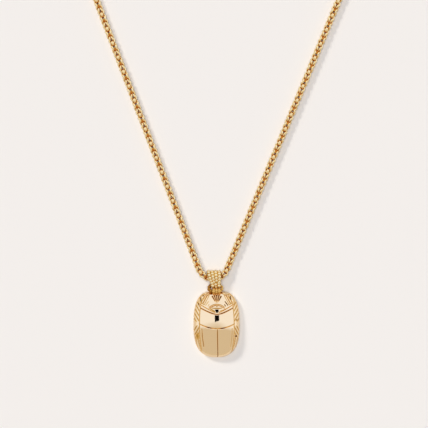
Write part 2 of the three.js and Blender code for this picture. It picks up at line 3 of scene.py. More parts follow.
import bmesh
import bpy
import numpy as np
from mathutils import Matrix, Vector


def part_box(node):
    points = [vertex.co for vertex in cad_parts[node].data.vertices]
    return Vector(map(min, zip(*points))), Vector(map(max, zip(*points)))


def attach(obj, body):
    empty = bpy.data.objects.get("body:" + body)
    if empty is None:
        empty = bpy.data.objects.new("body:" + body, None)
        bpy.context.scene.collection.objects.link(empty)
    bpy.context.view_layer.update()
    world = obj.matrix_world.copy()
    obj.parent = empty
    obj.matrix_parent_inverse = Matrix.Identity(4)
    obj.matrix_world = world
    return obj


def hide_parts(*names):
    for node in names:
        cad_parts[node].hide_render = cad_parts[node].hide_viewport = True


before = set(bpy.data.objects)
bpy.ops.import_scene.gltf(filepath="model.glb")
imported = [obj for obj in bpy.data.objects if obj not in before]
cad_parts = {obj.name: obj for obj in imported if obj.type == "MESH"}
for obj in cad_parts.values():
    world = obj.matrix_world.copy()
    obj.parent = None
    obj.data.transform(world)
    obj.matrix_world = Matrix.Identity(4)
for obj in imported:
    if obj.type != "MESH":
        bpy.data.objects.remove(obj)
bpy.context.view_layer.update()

# Lengths below are in millimetres, in the part's own frame, and MM turns them into metres.
MM = 0.001
DEGREE = math.pi / 180

# Scarab body
HALF_LENGTH = -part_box("scarab")[0][1] / MM
HALF_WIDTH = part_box("scarab")[1][0] / MM
BODY_HEIGHT = 6.1
GIRDLE_HEIGHT = 1.6
UNDERSIDE_ROUND = 0.35
UNDERSIDE_ROUND_STEPS = 4
OUTLINE_POWER = 2.6
HEAD_SQUARENESS = 3.3
TAIL_SQUARENESS = 2.6
CROWN_POWER_ACROSS = 2.3
CROWN_ROUNDING_ACROSS = 0.6
CROWN_POWER_ALONG = 2.6
CROWN_ROUNDING_ALONG = 0.5
SHELL_SHARE = 0.75
SHELL_TAPER = 0.14
SHELL_TAPER_LENGTH = 10
SHELL_MOST = 0.93
BACK_SHIFT = 0.27
BACK_TWIST = 0.02

# Border line of the underside, as inset from the rim and height
UNDERSIDE_LINE = ((1.1, 0), (1.2, 0.1), (1.35, 0.15), (1.5, 0.1), (1.6, 0))

# Rows and columns of the carved surface, crowded towards its rim
BODY_ROWS = 336
BODY_COLUMNS = 230
ROW_CROWDING = 0.1
ROW_CROWDING_POWER = 9
COLUMN_CROWDING = 0.5

# Beads, shaded where they face less than this much outward
BEAD_FINENESS = 3
BEAD_SHADE = 0.8
BEAD_SHADE_FACING = (0.7, 0.0)

# Eye on the head
EYE_ABOVE_GIRDLE = 1.9
EYE_Y = HALF_LENGTH
EYE_Z = GIRDLE_HEIGHT + EYE_ABOVE_GIRDLE
EYE_WIDTH = 3.0
EYE_WALL = 0.46
EYE_STEPS = 40
EYE_CHAMFER = 0.1
EYE_BAND_SHADE = 0.9
EYE_BEAD = 0.52
EYE_BEAD_ROWS = 7
EYE_BEAD_SEAT = 0.1
EYE_BEAD_SINK = 0.2
EYE_BEAD_SHADE = 0.6

# Beaded ring, with larger beads at its left end that carry more painted shade
RING_WIRE = 0.9
RING_CLEARANCE = 0.24
RING_CENTRE_X = -0.45
RING_HALF_WIDTH = 2.52
RING_RUN_Y = 2.15
RING_RUN_Z = 1.6
RING_SQUARENESS = 3.5
RING_BEADS = 14
RING_BEAD_SHADE = 0.6
RING_LEFT_FROM = 0.6
RING_LEFT_SWELL = 0.24
RING_LEFT_SHADE = 0.9
RING_OUTLINE_STEPS = 2000
RING_THREAD_RADIUS = 0.16
RING_THREAD_STEPS = 60
RING_THREAD_SIDES = 8

# Neck chain
CHAIN_WIDTH = 2.56
CHAIN_UNIT = 2.83
CHAIN_PAST_FOOT = 2.45
CHAIN_LOW_X = -1.4
CHAIN_LOW_Y = EYE_Y + RING_RUN_Y + CHAIN_PAST_FOOT
CHAIN_BEND_RADIUS = 5.64
CHAIN_BACK_RADIUS = 52.1
CHAIN_ARM_HALF_ANGLE_DEG = 21.7
CHAIN_LEAN_DEG = 0.84
CHAIN_END_GAP = 0.15
UNITS_IN_BAIL = 8
UNITS_PER_SIDE = 40
LIFT_START = 9.5
LIFT_FULL = 4.0

# Links
LINK_RADIUS = 1.01
LINK_WIRE = 0.54
LINK_STEPS = 20
LINK_SIDES = 8
INNER_LINK_SHARE = 0.55
INNER_LINK_STEPS = 14
INNER_LINK_SIDES = 6
# Painted shade on the links: none where they reach out to the first share of the chain's half width, full
# within the second, so deepest near the chain's middle line
LINK_SHADE_REACH = (1.0, 0.55)

# Places of the links in a chain unit, in shares of a link's radius, and their tilts in radians
OPENING_LINKS_OFF = 0.2003
MIDDLE_LINKS_ALONG = 0.9748
MIDDLE_LINKS_OFF = 0.417
MIDDLE_LINKS_TILT = -0.2241
CLOSING_LINKS_ALONG = 1.7654
CLOSING_LINKS_OFF = 0.5949
CLOSING_LINKS_TILT = -0.0083
INNER_LINKS_ALONG = 2.42
INNER_LINKS_OFF = 0.15

# Place of a chain unit's first link, as a share of the unit
UNIT_START = 0.17

# Bail: a strap bent into a closed drop, set with beads
BAIL_TOP_WIDTH = 5.2
BAIL_BOTTOM_WIDTH = 3.4
BAIL_STRAP = 0.42
BAIL_STRAP_STEPS = 120
BAIL_STRAP_SHADE = 0.8
BAIL_LEAN_DEG = 8.4
BAIL_FOOT_X = -0.26
BAIL_FOOT_HALF_HEIGHT = 1.2
BAIL_FOOT_RUN = 1
BAIL_TOP_ABOVE_CHAIN = 0.8
BAIL_CHAIN_CLEARANCE = 0.32
BAIL_TABLE_CLEARANCE = 0.05
BAIL_PINCH = 0.06 * math.pi
BAIL_ARC_STEPS = 200
BAIL_BEAD = 0.62
BAIL_BEAD_PITCH = 1.15
BAIL_BEAD_RISE = 0.34
BAIL_BEAD_SEAT = 0.75
BAIL_BEAD_SINK = 0.15
BAIL_BEAD_CROWDING = 1.08
BAIL_COLUMNS = 4
BAIL_COLUMNS_AT_FOOT = 3
BAIL_FOOT_HALF_WIDTH = 1.95
BAIL_BARE_BELOW = -0.45

# Clasp
CAP_LENGTH = 4.0
CAP_WIDTH = 2.9
CAP_SIDES = 32
CAP_HOLLOW = 0.5
CLASP_EYE_INNER_RADIUS = 0.95
CLASP_EYE_WIRE = 0.7
CLASP_EYE_SPAN = 8.4
CLASP_RING_STEPS = 40
CLASP_WIRE_SIDES = 12
HOOK_WIRE = 0.9
HOOK_LOOP_RADIUS = 1.25
HOOK_TURN_STEPS = 4
HOOK_SPAN_STEPS = 8

# Outline of an end cap, as share of its radius and distance from its eye
CAP_PROFILE = (
    (0.62, 0.0), (0.72, 0.08), (0.72, 0.4), (0.8, 0.6), (0.95, 0.8), (1.0, 1.0), (1.0, 1.25), (0.94, 1.35),
    (0.94, 1.5), (1.0, 1.6), (1.0, 2.9), (0.94, 3.0), (0.94, 3.15), (1.0, 3.25),
    (1.0, CAP_LENGTH - 0.15), (0.94, CAP_LENGTH), (0.8, CAP_LENGTH))

# Points of the hook's shank between its two loops, and how far its tip runs on past the open loop
HOOK_SHANK = ((0.4, 0.25), (-1.2, 0.95))
HOOK_TIP = (1.2, 0.15)


def smooth(start, end, value):
    share = np.clip((value - start) / (end - start), 0, 1)
    return share * share * (3 - 2 * share)


def within(rise, fall, value):
    """1 between two soft edges, each given as its start and end, and 0 outside them."""
    return smooth(*rise, value) * (1 - smooth(*fall, value))


def bump(distance, half_width):
    return np.clip(1 - (distance / half_width) ** 2, 0, 1) ** 2


def wave(distance, pitch):
    return 0.5 + 0.5 * np.cos(2 * math.pi * distance / pitch)


# Mesh building
class Shape:
    """Gathers points and faces, with a share of painted shade per point, and turns them into one object."""

    def __init__(self):
        self.points = []
        self.faces = []
        self.shade = []
        self.count = 0

    def add(self, points, faces, shade=0.0):
        points = np.asarray(points, float).reshape(-1, 3)
        self.points.append(points)
        self.faces += [(np.asarray(face) + self.count).tolist() for face in faces]
        self.shade.append(np.broadcast_to(np.asarray(shade, float), len(points)))
        self.count += len(points)

    def build(self, name, material):
        mesh = bpy.data.meshes.new(name)
        mesh.from_pydata(np.concatenate(self.points) * MM, [], self.faces)
        mesh.polygons.foreach_set("use_smooth", np.ones(len(mesh.polygons), bool))
        # Each point's share of painted shade, which the gold materials turn amber and then dark
        mesh.attributes.new("painted_recess_shade", "FLOAT", "POINT").data.foreach_set(
            "value", np.concatenate(self.shade).astype(np.float32))
        mesh.materials.append(material)
        mesh.update()
        piece = bpy.data.objects.new(name, mesh)
        bpy.context.scene.collection.objects.link(piece)
        return piece


def grid_faces(rows, columns, wrap_rows=False, wrap_columns=False):
    """Quads of a grid of points, in the order that faces up when rows run to +Y and columns to +X."""
    i = np.arange(rows if wrap_rows else rows - 1)[:, None]
    j = np.arange(columns if wrap_columns else columns - 1)[None, :]
    near, far = i * columns, (i + 1) % rows * columns
    after = (j + 1) % columns
    return np.stack([near + j, near + after, far + after, far + j], -1).reshape(-1, 4)


def sweep(centres, aheads, ups, section, closed):
    """Points and faces of a section carried along a line; each section point is (aside, up)."""
    centres, aheads, ups = [np.asarray(values, float) for values in (centres, aheads, ups)]
    asides = np.cross(ups, aheads)
    section = np.asarray(section, float)
    points = (centres[:, None] + asides[:, None] * section[None, :, :1] + ups[:, None] * section[None, :, 1:])
    rows, columns = points.shape[:2]
    faces = grid_faces(rows, columns, closed, True).tolist()
    points = points.reshape(-1, 3)
    if not closed:
        faces.append(list(range(columns))[::-1])
        faces.append([(rows - 1) * columns + j for j in range(columns)])
    return points, faces


def circle(radius, sides, start=0.0):
    angles = start + 2 * math.pi * np.arange(sides) / sides
    return np.stack([radius * np.cos(angles), radius * np.sin(angles)], -1)


def bead_template(fineness):
    ball = bmesh.new()
    bmesh.ops.create_icosphere(ball, subdivisions=fineness, radius=1.0)
    points = np.array([vertex.co[:] for vertex in ball.verts])
    faces = [[vertex.index for vertex in face.verts] for face in ball.faces]
    ball.free()
    return points, faces


BEAD = bead_template(BEAD_FINENESS)


def add_bead(shape, centre, radius, outward, rise=1.0, sink=1.0, least_shade=0.0):
    """A bead, shaded where it turns away from outward; rise and sink press its two halves flat."""
    points, faces = BEAD
    outward = np.asarray(outward, float) / np.linalg.norm(outward)
    facing = points @ outward
    pressed = facing * np.where(facing > 0, rise, sink)
    shade = np.maximum(BEAD_SHADE * smooth(*BEAD_SHADE_FACING, facing), least_shade)
    shape.add(np.asarray(centre) + (points + np.outer(pressed - facing, outward)) * radius, faces, shade)


# Outline and crown of the scarab
def half_width_at(y):
    share = np.minimum(np.abs(y) / HALF_LENGTH, 1)
    squareness = np.where(y > 0, HEAD_SQUARENESS, TAIL_SQUARENESS)
    return HALF_WIDTH * (1 - share ** OUTLINE_POWER) ** (1 / squareness)


def crown_at(across, along):
    sideways = (1 - np.abs(across) ** CROWN_POWER_ACROSS) ** CROWN_ROUNDING_ACROSS
    lengthways = (1 - np.abs(along) ** CROWN_POWER_ALONG) ** CROWN_ROUNDING_ALONG
    return (BODY_HEIGHT - RIDGE_RISE - GIRDLE_HEIGHT) * sideways * lengthways


def back_shift(y):
    """How far the carved back sits off the middle of its base, less towards the head and tail."""
    return np.minimum(1, 2 * half_width_at(y) / HALF_WIDTH) * (BACK_SHIFT - BACK_TWIST * y)


def shell_edge(b):
    """Side edge of the wing cases and the thorax, as a distance from the middle line."""
    outline = half_width_at(b)
    straight = SHELL_SHARE * HALF_WIDTH * (1 - SHELL_TAPER * (b / SHELL_TAPER_LENGTH) ** 2)
    return np.where(b > 0, SHELL_SHARE * outline, np.minimum(straight, SHELL_MOST * outline))


# Seams across the back, as place on the middle line, rise, distance over which it rises, and power
THORAX_BASE = (-1.4, 1.4, 6.0, 2)
COLLAR_LOW = (3.88, 2.3, 5.75, 1.3)
COLLAR_HIGH = (4.22, 2.6, 5.3, 1.25)
LID_ARCH = (7.3, -1.0, 2.7, 2)
LOWER_LID = (6.0, 0.3, 2.7, 2)
COLLAR_SIDE = 6.4

# Carved lines and grooves, as half width, depth and share of painted shade
SHELL_EDGE_LINE = (0.27, 0.2, 0.8)
THORAX_LINE = (0.27, 0.32, 0.95)
SUTURE = (0.2, 0.2, 0.95)
LATERAL_CUT = (0.25, 0.2, 0.9)
COLLAR_TOP_LINE = (0.23, 0.12, 0.85)
LOWER_LID_LINE = (0.26, 0.12, 0.95)
LEFT_LEAF_CUT = (0.34, 0.1, 0.9)
RIGHT_LEAF_CUT = (0.2, 0.1, 0.75)
PUPIL_CUT = (0.34, 0.1, 0.9)
HATCH_CUT = (0.24, 0.12, 1.0)
TOOTH_CUT = (0.5, 0.05, 0.4)
NICK_CUT = (0.32, 0.1, 1.0)
HEAD_EDGE_LINE = (0.2, 0.12, 0.6)
PIT_CUT = (0.6, 0.2, 1.2)
# Shallow hollow on the left border across from the pit, with painted amber shade
LEFT_HOLLOW_SHADE = (1.1, 0.07, 0.86)
RIDGE_FLANK = (0.2, 0.1, 0.85)
GROOVE_BREADTH = 1.8

# Carved ridges, as half width and rise
RIDGE_RISE = 0.28
LID_RIDGE = (0.24, RIDGE_RISE)
HEAD_RIDGE = (0.3, 0.08)
FORELEG_RIDGE = (0.5, 0.1)
HIND_LEG_RIDGE = (0.42, 0.12)

# Step from the wing cases down to the border, and the stretch of the body that has it
SHELL_STEP = 0.3
SHELL_EASE = (-0.1, 0.2)
STEP_STRETCH = ((-11.0, -9.2), (6.4, 7.4))

# Thorax line, which is deepest at one place each side, and ends of the suture
THORAX_LINE_LEAST = 0.75
THORAX_LINE_MORE = 0.5
THORAX_DEEPEST_RIGHT = 2.0
THORAX_DEEPEST_LEFT = 3.0
THORAX_DEEPEST_HALF_WIDTH = 1.6
SUTURE_END = (-1.7, -1.4)
LATERAL_LINE = ((5.6, -1.6), (5.4, -4.6), (4.9, -8.1))
LATERAL_RIGHT_SHARE = 0.6

# Collar band, whose lower line lies further below it and widens away from the middle
COLLAR_EASE = 0.12
COLLAR_END = (6.2, 6.6)
COLLAR_LINE_DEPTH = 0.2
COLLAR_LINE_BELOW = 0.1
COLLAR_LINE_DROP = 0.12
COLLAR_LINE_HALF_WIDTH = 0.22
COLLAR_LINE_WIDENING = 0.1
COLLAR_LINE_ASIDE = (0.5, 2.0)
COLLAR_TOP_LINE_ABOVE = 0.1
COLLAR_TOP_LINE_START = (0.5, 0.9)

# Eye shape above the collar, with a tilted and dished floor
LID_END = (2.7, 3.1)
LOWER_LID_END = (1.6, 2.4)
EYE_FLOOR_START = 4.35
EYE_FLOOR_END = (5.75, 5.85)
EYE_FLOOR_SIDE = (1.1, 1.6)
EYE_FLOOR_SLOPE = 0.055
EYE_FLOOR_CURVE = 0.02
EYE_FLOOR_DISH = 0.006
PUPIL_Y = 6.65
LEFT_LEAF = ((0.95, 4.9), (2.4, 5.85))
RIGHT_LEAF = ((1.3, 5.1), (3.1, 5.6))

# Fan on the front plate of the head
FAN_APEX = 7.4
FAN_REACH = ((0.5, 1.0), (3.4, 3.7))
FAN_SIDE_LINES_START = (0.9, 1.7)
FAN_ANGLES_DEG = (0, 14, 28)
FAN_DEPTH = 0.32
FAN_LINE_HALF_WIDTH = 0.1
FAN_LINE_WIDENING = 0.05
FAN_SHADE_END = (32 * DEGREE, 38 * DEGREE)
FAN_PAINTED_SHADE = 0.3

# Cheeks and forelegs
HEAD_RIDGES = (((3.1, 10.7), (4.75, 7.6)), ((3.8, 10.8), (5.4, 8.0)))
CHEEK_HATCH = (((3.05, 8.5), (3.5, 7.85)), ((3.55, 7.9), (4.05, 7.1)), ((2.87, 7.35), (3.15, 6.85)))
# The cheek hatching on the left is cut at this share of its depth and painted shade, as light washes it out on
# that side
HATCH_LEFT_SHARE = 0.5
FORELEG = ((6.1, 8.0), (5.9, 9.4), (4.7, 10.7))
TOOTH_PITCH = 0.85
TOOTH_SHARPNESS = 3
LEFT_NICKS = (((4.9, 10.5), (4.95, 10.7)), ((5.83, 9.7), (5.8, 8.6)), ((6.66, 7.4), (6.66, 7.6)))
RIGHT_NICKS = (((5.0, 10.4), (5.2, 9.3)), ((7.35, 1.6), (7.4, 1.7)))
HEAD_EDGE_START = (8.5, 10.0)
HEAD_EDGE_STRETCH = 0.93
HEAD_EDGE_SHARE = 0.905

# Side borders, with the strokes of the folded legs
LEAST_HALF_WIDTH = 0.01
BORDER_INNER = (0.1, 0.35)
BORDER_OUTER = (0.955, 0.995)
UPPER_STROKES = ((0.7, 1.3), (8.0, 8.8))
LOWER_STROKES = ((-4.2, -3.6), (-0.9, -0.3))
REAR_HAIRS = ((-11.0, -10.0), (-5.4, -4.9))
STROKE_PITCH = 2.0
STROKE_SLOPE = 1.8
STROKE_MIDDLE = 7
STROKE_DEPTH = 0.18
STROKE_SHADE = 0.9
HAIR_PITCH = 0.9
HAIR_SLOPE = 0.8
HAIR_DEPTH = 0.1
HAIR_SHADE = 0.6
HIND_LEG = ((7.3, -4.8), (6.9, -7.2), (6.2, -9.2))
HIND_LEG_START = -4
HIND_LEG_CLEAR = 0.5
PIT = (7.1, -4.3)
LEFT_HOLLOW_SHADE_STRETCH = 2


def seam_at(a, middle, rise, side, power):
    return middle + rise * (a / side) ** power


def to_segment(a, b, start, end):
    run = np.subtract(end, start)
    share = np.clip(((a - start[0]) * run[0] + (b - start[1]) * run[1]) / (run @ run), 0, 1)
    return np.hypot(a - start[0] - share * run[0], b - start[1] - share * run[1])


def to_line(a, b, line):
    return np.min([to_segment(a, b, start, end) for start, end in zip(line, line[1:])], axis=0)


class Relief:
    """Rise of the carving and its share of painted shade, at a from the middle line and b along the body."""

    def __init__(self, a, b, right):
        self.a, self.b, self.right = a, b, right
        self.height, self.tone = np.zeros_like(a), np.zeros_like(a)
        self.edge = shell_edge(b)
        self.on_shell = 1 - smooth(self.edge + SHELL_EASE[0], self.edge + SHELL_EASE[1], a)

    def cut(self, mask, depth, dark):
        self.height -= depth * mask
        self.tone = np.maximum(self.tone, dark * mask)

    def lift(self, mask, rise):
        self.height += rise * mask

    def line(self, distance, kind, where=1.0):
        half_width, depth, dark = kind
        self.cut(bump(distance, half_width) * where, depth, dark)

    def groove(self, distance, kind, where=1.0):
        """A line with a broad even bottom."""
        half_width, depth, dark = kind
        self.cut(np.minimum(1, GROOVE_BREADTH * bump(distance, half_width)) * where, depth, dark)

    def ridge(self, distance, kind, where=1.0):
        """A ridge with a fine line along each side."""
        half_width, rise = kind
        self.lift(bump(distance, half_width) * where, rise)
        self.line(np.abs(distance) - half_width, RIDGE_FLANK, where)


def carve_back(relief):
    a, b, right, on_shell = relief.a, relief.b, relief.right, relief.on_shell
    has_step = within(*STEP_STRETCH, b)
    relief.lift((1 - on_shell) * has_step, -SHELL_STEP)
    relief.line(a - relief.edge, SHELL_EDGE_LINE, has_step)
    deepest = np.where(right, THORAX_DEEPEST_RIGHT, THORAX_DEEPEST_LEFT)
    strength = THORAX_LINE_LEAST + THORAX_LINE_MORE * bump(a - deepest, THORAX_DEEPEST_HALF_WIDTH)
    relief.line(b - seam_at(a, *THORAX_BASE), THORAX_LINE, on_shell * strength)
    relief.groove(a, SUTURE, 1 - smooth(*SUTURE_END, b))
    relief.line(to_line(a, b, LATERAL_LINE), LATERAL_CUT, np.where(right, LATERAL_RIGHT_SHARE, 1))


def carve_collar(relief):
    a, b = relief.a, relief.b
    low = seam_at(np.minimum(a, COLLAR_SIDE), *COLLAR_LOW)
    high = seam_at(np.minimum(a, COLLAR_SIDE), *COLLAR_HIGH)
    on_collar = 1 - smooth(*COLLAR_END, a)
    past_low = smooth(low - COLLAR_EASE, low + COLLAR_EASE, b)
    past_high = smooth(high - COLLAR_EASE, high + COLLAR_EASE, b)
    relief.lift((past_low - past_high) * on_collar, RIDGE_RISE)
    aside = smooth(*COLLAR_LINE_ASIDE, a)
    half_width = COLLAR_LINE_HALF_WIDTH + COLLAR_LINE_WIDENING * aside
    off_low = b - low + COLLAR_LINE_BELOW + COLLAR_LINE_DROP * aside
    relief.cut(bump(off_low, half_width) * relief.on_shell, COLLAR_LINE_DEPTH, 1.0)
    top_line = on_collar * smooth(*COLLAR_TOP_LINE_START, a)
    relief.line(b - high - COLLAR_TOP_LINE_ABOVE, COLLAR_TOP_LINE, top_line)


def carve_eye(relief):
    a, b, right = relief.a, relief.b, relief.right
    relief.ridge(b - seam_at(a, *LID_ARCH), LID_RIDGE, 1 - smooth(*LID_END, a))
    relief.line(b - seam_at(a, *LOWER_LID), LOWER_LID_LINE, 1 - smooth(*LOWER_LID_END, a))
    past = np.clip(b - EYE_FLOOR_START, 0, None)
    floor_rise = EYE_FLOOR_SLOPE * past + EYE_FLOOR_CURVE * past ** 2 - EYE_FLOOR_DISH * a ** 2
    on_floor = (1 - smooth(*EYE_FLOOR_SIDE, a)) * (b > EYE_FLOOR_START) * (1 - smooth(*EYE_FLOOR_END, b))
    relief.lift(on_floor, floor_rise)
    relief.line(to_segment(a, b, *LEFT_LEAF), LEFT_LEAF_CUT, ~right)
    relief.line(to_segment(a, b, *RIGHT_LEAF), RIGHT_LEAF_CUT, right)
    relief.groove(np.hypot(a, b - PUPIL_Y), PUPIL_CUT)


def carve_fan(relief):
    a, b = relief.a, relief.b
    radius = np.hypot(a, b - FAN_APEX)
    angle = np.arctan2(a, b - FAN_APEX)
    fan = within(*FAN_REACH, radius) * (b > FAN_APEX)
    # Painted shade over the middle of the fan, with no cut
    relief.cut(fan * (1 - smooth(*FAN_SHADE_END, np.abs(angle))), 0, FAN_PAINTED_SHADE)
    half_width = FAN_LINE_HALF_WIDTH + FAN_LINE_WIDENING * radius
    for degrees in FAN_ANGLES_DEG:
        line = fan if degrees == 0 else fan * smooth(*FAN_SIDE_LINES_START, radius)
        relief.groove(radius * np.sin(angle - degrees * DEGREE), (half_width, FAN_DEPTH, 1.0), line)


def carve_head(relief):
    a, b, right = relief.a, relief.b, relief.right
    for start, end in HEAD_RIDGES:
        relief.ridge(to_segment(a, b, start, end), HEAD_RIDGE)
    for start, end in CHEEK_HATCH:
        relief.groove(to_segment(a, b, start, end), HATCH_CUT, np.where(right, 1, HATCH_LEFT_SHARE))
    off_leg = to_line(a, b, FORELEG)
    relief.ridge(off_leg, FORELEG_RIDGE)
    relief.line(off_leg, TOOTH_CUT, wave(b - a, TOOTH_PITCH) ** TOOTH_SHARPNESS)
    for nicks, side in ((LEFT_NICKS, ~right), (RIGHT_NICKS, right)):
        for start, end in nicks:
            relief.groove(to_segment(a, b, start, end), NICK_CUT, side)
    share = np.hypot(a / HALF_WIDTH, HEAD_EDGE_STRETCH * b / HALF_LENGTH)
    relief.line((share - HEAD_EDGE_SHARE) * HALF_WIDTH, HEAD_EDGE_LINE, smooth(*HEAD_EDGE_START, b))


def carve_borders(relief):
    a, b, right = relief.a, relief.b, relief.right
    across = a / np.maximum(half_width_at(b), LEAST_HALF_WIDTH)
    past_edge = smooth(relief.edge + BORDER_INNER[0], relief.edge + BORDER_INNER[1], a)
    on_border = past_edge * (1 - smooth(*BORDER_OUTER, across))
    slant = STROKE_SLOPE * (a - STROKE_MIDDLE)
    upper = within(*UPPER_STROKES, b) * wave(b - slant, STROKE_PITCH) ** 2
    lower = within(*LOWER_STROKES, b) * wave(b + slant, STROKE_PITCH) ** 2
    hairs = within(*REAR_HAIRS, b) * wave(b + HAIR_SLOPE * a, HAIR_PITCH) ** 2
    off_hind = to_line(a, b, HIND_LEG)
    relief.ridge(off_hind, HIND_LEG_RIDGE, on_border * (b < HIND_LEG_START))
    # Strokes and hairs carry painted shade in their grooves
    relief.cut((upper + lower) * on_border, STROKE_DEPTH, STROKE_SHADE)
    relief.cut(hairs * on_border * (1 - bump(off_hind, HIND_LEG_CLEAR)), HAIR_DEPTH, HAIR_SHADE)
    relief.groove(np.hypot(a - PIT[0], b - PIT[1]), PIT_CUT, right)
    # Painted amber shade in a shallow hollow on the left, across from the pit
    relief.line(np.hypot(a - PIT[0], (b - PIT[1]) / LEFT_HOLLOW_SHADE_STRETCH), LEFT_HOLLOW_SHADE, ~right)


# Body of the scarab, as its carved top and the walls and underside below it
def carved_top():
    """Points of the top by rows and columns, with the share of painted shade of each."""
    t = np.linspace(-1, 1, BODY_ROWS + 2)[1:-1]
    y = HALF_LENGTH * (t + ROW_CROWDING * (t - t ** ROW_CROWDING_POWER))
    s = np.linspace(-1, 1, BODY_COLUMNS)
    across = (1 - COLUMN_CROWDING) * s + COLUMN_CROWDING * np.sin(math.pi / 2 * s)
    across[0], across[-1] = -1, 1
    rows_y, shares = np.meshgrid(y, across, indexing="ij")
    half = half_width_at(rows_y)
    relief = Relief(np.abs(shares) * half, rows_y, shares > 0)
    for carve in (carve_back, carve_collar, carve_eye, carve_fan, carve_head, carve_borders):
        carve(relief)
    x = shares * half + back_shift(rows_y) * (1 - shares ** 2)
    carving = np.where(np.abs(shares) < 1, relief.height, 0)
    z = GIRDLE_HEIGHT + crown_at(shares, rows_y / HALF_LENGTH) + carving
    return np.stack([x, rows_y, z], -1), relief.tone


def underside_profile():
    """Inset and height from the foot of the upright edge to the flat underside and its border line."""
    profile = [(0, UNDERSIDE_ROUND)]
    for k in range(1, UNDERSIDE_ROUND_STEPS + 1):
        turn = math.pi / 2 * k / UNDERSIDE_ROUND_STEPS
        profile.append((UNDERSIDE_ROUND * (1 - math.cos(turn)), UNDERSIDE_ROUND * (1 - math.sin(turn))))
    return profile + list(UNDERSIDE_LINE)


def scarab_shape():
    shape = Shape()
    top, tone = carved_top()
    ends = [[0, -HALF_LENGTH, GIRDLE_HEIGHT], [0, HALF_LENGTH, GIRDLE_HEIGHT]]
    points = np.concatenate([top.reshape(-1, 3), ends])
    faces = grid_faces(BODY_ROWS, BODY_COLUMNS).tolist()
    tail, head = BODY_ROWS * BODY_COLUMNS, BODY_ROWS * BODY_COLUMNS + 1
    last = (BODY_ROWS - 1) * BODY_COLUMNS
    for j in range(BODY_COLUMNS - 1):
        faces.append([tail, j + 1, j])
        faces.append([head, last + j, last + j + 1])

    rim = [tail, *(i * BODY_COLUMNS + BODY_COLUMNS - 1 for i in range(BODY_ROWS)),
           head, *(i * BODY_COLUMNS for i in reversed(range(BODY_ROWS)))]
    rings = [rim]
    for inset, height in underside_profile():
        scale = [1 - inset / HALF_WIDTH, 1 - inset / HALF_LENGTH]
        ring = np.column_stack([points[rim][:, :2] * scale, np.full(len(rim), height)])
        rings.append(list(range(len(points), len(points) + len(rim))))
        points = np.concatenate([points, ring])
    for upper, lower in zip(rings, rings[1:]):
        for j in range(len(rim)):
            after = (j + 1) % len(rim)
            faces.append([upper[j], lower[j], lower[after], upper[after]])
    middle = len(points)
    points = np.concatenate([points, [[0, 0, 0]]])
    for j in range(len(rim)):
        faces.append([middle, rings[-1][(j + 1) % len(rim)], rings[-1][j]])
    shade = np.zeros(len(points))
    shade[:tone.size] = tone.ravel()
    shape.add(points, faces, shade)
    return shape


# Fixed eye on the head: a band with three rows of beads
def ring_directions(steps, plane):
    """Outward and forward directions round a circle in the plane of two axes, such as YZ as (1, 2)."""
    angles = 2 * math.pi * np.arange(steps) / steps
    outward, ahead = np.zeros((steps, 3)), np.zeros((steps, 3))
    outward[:, plane[0]], outward[:, plane[1]] = np.cos(angles), np.sin(angles)
    ahead[:, plane[0]], ahead[:, plane[1]] = -np.sin(angles), np.cos(angles)
    return outward, ahead


def add_head_eye(shape):
    inner = RING_WIRE / 2 + RING_CLEARANCE
    outward, ahead = ring_directions(EYE_STEPS, (1, 2))
    half, wall = EYE_WIDTH / 2, EYE_WALL / 3
    side = half - EYE_CHAMFER
    section = [(-side, -wall), (side, -wall), (side, wall), (-side, wall)]
    middle = np.array([0, EYE_Y, EYE_Z])
    points, faces = sweep(middle + outward * (inner + wall), ahead, outward, section, True)
    shape.add(points, faces, EYE_BAND_SHADE)
    rise = (EYE_WALL - EYE_BEAD_SEAT) / EYE_BEAD
    for i in range(EYE_BEAD_ROWS):
        for column in (-1, 0, 1):
            turn = 2 * math.pi * (i + 0.5 * (column == 0)) / EYE_BEAD_ROWS
            out = np.array([0, math.cos(turn), math.sin(turn)])
            centre = middle + [column * (half - EYE_BEAD), 0, 0] + out * (inner + EYE_BEAD_SEAT)
            add_bead(shape, centre, EYE_BEAD, out, rise, EYE_BEAD_SINK, EYE_BEAD_SHADE)


# Oval ring of beads on a thread of wire, tilted from the eye down to the bail's foot
def ring_outline():
    """Points round the ring in its own plane, as across and along, and the length up to each."""
    half_height = math.hypot(RING_RUN_Y, RING_RUN_Z) / 2
    turns = np.linspace(0, 2 * math.pi, RING_OUTLINE_STEPS)
    across = np.sign(np.cos(turns)) * np.abs(np.cos(turns)) ** (2 / RING_SQUARENESS)
    along = np.sign(np.sin(turns)) * np.abs(np.sin(turns)) ** (2 / RING_SQUARENESS)
    line = np.stack([RING_HALF_WIDTH * across, half_height * along], -1)
    return line, running_length(line)


def running_length(line):
    return np.concatenate([[0], np.cumsum(np.linalg.norm(np.diff(line, axis=0), axis=1))])


def points_along(line, length, picks):
    return np.stack([np.interp(picks, length, line[:, k]) for k in (0, 1)], -1)


